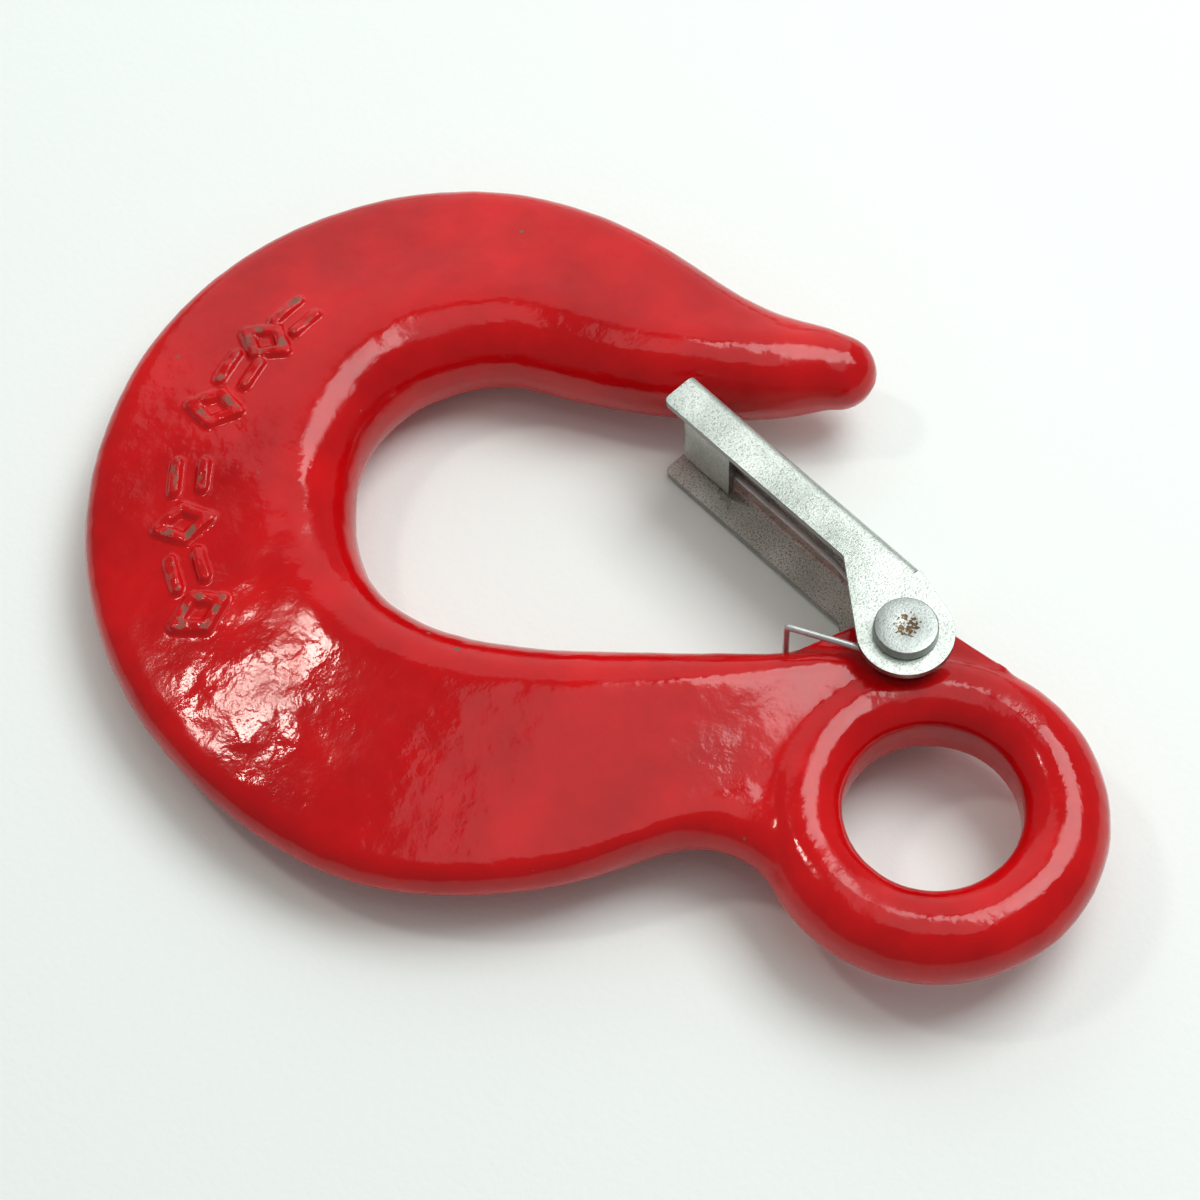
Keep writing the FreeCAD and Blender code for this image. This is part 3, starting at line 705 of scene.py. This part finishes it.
rust_sum.parent = rust_frame
rust_sum.operation = "ADD"
rust_edge = nodes.new("ShaderNodeMapRange")
rust_edge.label = "Edge of the rust"
rust_edge.location = (-390, -800)
rust_edge.parent = rust_frame
rust_edge.inputs["From Min"].default_value = 0.585
rust_edge.inputs["From Max"].default_value = 0.645
rust_colour = nodes.new("ShaderNodeMix")
rust_colour.label = "Rust over the plating"
rust_colour.location = (-520, 300)
rust_colour.data_type = "RGBA"
rust_colour.inputs[7].default_value = (0.10, 0.062, 0.030, 1.0)
links.new(place.outputs["Object"], from_axis.inputs[0])
links.new(place.outputs["Object"], rust_grain.inputs["Vector"])
links.new(from_axis.outputs["Vector"], flat_place.inputs[0])
links.new(flat_place.outputs["Vector"], axis_distance.inputs[0])
links.new(axis_distance.outputs["Value"], patch.inputs["Value"])
links.new(patch.outputs["Result"], rust_sum.inputs[0])
links.new(rust_grain.outputs["Fac"], rust_sum.inputs[1])
links.new(rust_sum.outputs["Value"], rust_edge.inputs["Value"])
links.new(plating, rust_colour.inputs[6])
links.new(rust_edge.outputs["Result"], rust_colour.inputs["Factor"])
links.new(rust_colour.outputs[2], surface.inputs["Base Color"])
rivet.data.materials.append(rivet_zinc)
rivet = apply_stack(rivet)
rivet.data.transform(Matrix.Translation(hinge_pin))
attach(rivet, "hook")
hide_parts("rivet")

# ---- the spring --------------------------------------------------------------------------------
# A double torsion spring bent from one length of 1.05 mm wire: a loop that bears on the shank,
# a coil round the rivet on each side of the lug, and two straight tines along the latch's back.

wire_radius = 0.000525
coil_radius = 0.00335
coil_pitch = 0.0011
coil_outer_level = 0.00815
loop_corner = Vector((-0.0075, -0.0328, 0.0))
corner_reach = 0.0014
tine_bend = 0.0200
tine_level = -0.00757
tine_end = 0.0460
coil_lead = 0.0010
bend_reach = 0.0020
points_per_turn = 24

latch_turn = Matrix.Rotation(latch_angle, 3, "Z")
bend_point = hinge_pin + latch_turn @ Vector((tine_bend, tine_level, 0.0))
tip_point = hinge_pin + latch_turn @ Vector((tine_end, tine_level, 0.0))
to_loop = loop_corner - hinge_pin
to_bend = bend_point - hinge_pin
coil_begin = math.atan2(to_loop.y, to_loop.x) + math.acos(coil_radius / to_loop.length)
coil_finish = math.atan2(to_bend.y, to_bend.x) - math.acos(coil_radius / to_bend.length)
while coil_finish < coil_begin + 4.0 * math.pi:
    coil_finish += 2.0 * math.pi
climb = coil_pitch / (2.0 * math.pi)
leg_rise = climb * math.sqrt(to_loop.length ** 2 - coil_radius ** 2) / coil_radius
tine_drop = climb * math.sqrt(to_bend.length ** 2 - coil_radius ** 2) / coil_radius

wire = []
loop_corner.z = coil_outer_level + leg_rise
coil = []
turns = math.ceil((coil_finish - coil_begin) / (2.0 * math.pi) * points_per_turn)
for step in range(turns + 1):
    angle = coil_begin + (coil_finish - coil_begin) * step / turns
    level = coil_outer_level - climb * (angle - coil_begin)
    coil.append(hinge_pin + Vector((coil_radius * math.cos(angle), coil_radius * math.sin(angle), level)))
bend_point.z = coil[-1].z - tine_drop
tip_point.z = bend_point.z
along_leg = (coil[0] - loop_corner).normalized()
along_tine = (tip_point - bend_point).normalized()
before_bend = (coil[-1] - bend_point).normalized()
wire.append(loop_corner - Vector((0.0, 0.0, corner_reach)))
wire.append(loop_corner)
wire.append(loop_corner + along_leg * corner_reach)
wire += [coil[0] - along_leg * coil_lead] + coil + [coil[-1] - before_bend * coil_lead]
wire.append(bend_point + before_bend * bend_reach)
wire.append(bend_point + along_tine * bend_reach)
wire.append(tip_point)
whole_wire = [Vector((p.x, p.y, -p.z)) for p in reversed(wire)] + wire

spring_curve = bpy.data.curves.new("latch_spring_wire", "CURVE")
spring_curve.dimensions = "3D"
spring_curve.bevel_depth = wire_radius
spring_curve.bevel_resolution = 3
spring_curve.resolution_u = 4
spring_curve.render_resolution_u = 4
spring_curve.use_fill_caps = True
spline = spring_curve.splines.new("NURBS")
spline.points.add(len(whole_wire) - 1)
for point, target in zip(spline.points, whole_wire):
    point.co = (*target, 1.0)
spline.order_u = 3
spline.use_endpoint_u = True
spring = apply_stack(add_piece("latch_spring_wire", spring_curve))
shade_smooth(spring.data)

spring_steel = zinc_plate(
    "spring_wire", (0.66, 0.68, 0.67, 1.0), (0.44, 0.46, 0.45, 1.0), 0.30, 0.00030, 0.00001, 0.28, 0.55)
spring.data.materials.clear()
spring.data.materials.append(spring_steel)
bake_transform(spring)
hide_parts("latch_spring")

# ---- floor, light and camera -------------------------------------------------------------------
# The hook lies on a pale sheet, on its belly and the tail of the rivet, so the sheet is a little
# out of level with the hook. A large soft box and a pale wall light it from behind, a small lamp
# from the left and a panel from above.

floor_touch = Vector((0.0196, -0.1081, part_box("hook_forging")[0].z))
floor_up = Vector((-0.0181, 0.0232, 0.9996))
floor_mesh = bpy.data.meshes.new("floor")
shell = bmesh.new()
bmesh.ops.create_grid(shell, x_segments=1, y_segments=1, size=2.0)
shell.to_mesh(floor_mesh)
shell.free()
floor_mesh.transform(Matrix.Translation(floor_touch) @ floor_up.to_track_quat("Z", "Y").to_matrix().to_4x4())
floor = add_piece("floor", floor_mesh)
sheet_paper = bpy.data.materials.new("pale_floor")
sheet_paper.use_nodes = True
nodes = sheet_paper.node_tree.nodes
links = sheet_paper.node_tree.links
paper = nodes["Principled BSDF"]
paper.inputs["Base Color"].default_value = (0.88, 0.945, 0.915, 1.0)
paper.inputs["Roughness"].default_value = 0.55
place = nodes.new("ShaderNodeTexCoord")
place.label = "Place on the floor"
place.location = (-900, 0)
tooth = nodes.new("ShaderNodeTexNoise")
tooth.label = "Fine tooth of the board"
tooth.location = (-700, 0)
tooth.inputs["Scale"].default_value = 900.0
tooth_bump = nodes.new("ShaderNodeBump")
tooth_bump.label = "Tooth height"
tooth_bump.location = (-400, -100)
tooth_bump.inputs["Strength"].default_value = 1.0
tooth_bump.inputs["Distance"].default_value = 0.00006
links.new(place.outputs["Object"], tooth.inputs["Vector"])
links.new(tooth.outputs["Fac"], tooth_bump.inputs["Height"])
links.new(tooth_bump.outputs["Normal"], paper.inputs["Normal"])
floor.data.materials.append(sheet_paper)

view_target = Vector((0.0024, -0.0603, 0.0))
view_azimuth = 42.3
view_elevation = 60.6
view_distance = 0.510
view_roll = -3.0
light_distance = 0.9


def sky_direction(azimuth, elevation):
    """Unit vector towards a light, its azimuth counter-clockwise from +X."""
    turn = Euler((0.0, -math.radians(elevation), math.radians(azimuth))).to_matrix()
    return turn @ Vector((1.0, 0.0, 0.0))


def soft_box(name, azimuth, elevation, width, height, power):
    """A rectangular soft box that faces the hook. It gives back the lamp."""
    lamp = bpy.data.lights.new(name, "AREA")
    lamp.shape = "RECTANGLE"
    lamp.size = width
    lamp.size_y = height
    lamp.energy = power
    stand = bpy.data.objects.new(name, lamp)
    bpy.context.scene.collection.objects.link(stand)
    direction = sky_direction(azimuth, elevation)
    stand.location = view_target + direction * light_distance
    stand.rotation_mode = "QUATERNION"
    stand.rotation_quaternion = direction.to_track_quat("Z", "Y")
    return lamp


soft_box("soft_box_right", 163.0, 61.0, 0.54, 0.46, 4.6)
soft_box("pale_wall_behind", -138.0, 32.0, 1.0, 1.0, 2.3)
small_lamp = soft_box("small_lamp_left", -72.0, 61.0, 0.07, 0.095, 0.75)
small_lamp.color = (1.0, 0.93, 0.84)
soft_box("ceiling_panel", 110.0, 82.0, 0.55, 0.55, 0.95)

room = bpy.data.worlds.new("studio")
room.use_nodes = True
room.node_tree.nodes["Background"].inputs["Color"].default_value = (0.97, 1.0, 0.985, 1.0)
room.node_tree.nodes["Background"].inputs["Strength"].default_value = 0.27
bpy.context.scene.world = room
bpy.context.scene.view_settings.view_transform = "Standard"

camera_data = bpy.data.cameras.new("camera")
camera_data.lens = 102.0
camera_data.sensor_width = 36.0
camera_data.clip_start = 0.01
camera = bpy.data.objects.new("camera", camera_data)
bpy.context.scene.collection.objects.link(camera)
back = sky_direction(view_azimuth, view_elevation)
roll = Quaternion((0.0, 0.0, 1.0), math.radians(view_roll))
camera.location = view_target + back * view_distance
camera.rotation_mode = "QUATERNION"
camera.rotation_quaternion = back.to_track_quat("Z", "Y") @ roll
bpy.context.scene.camera = camera
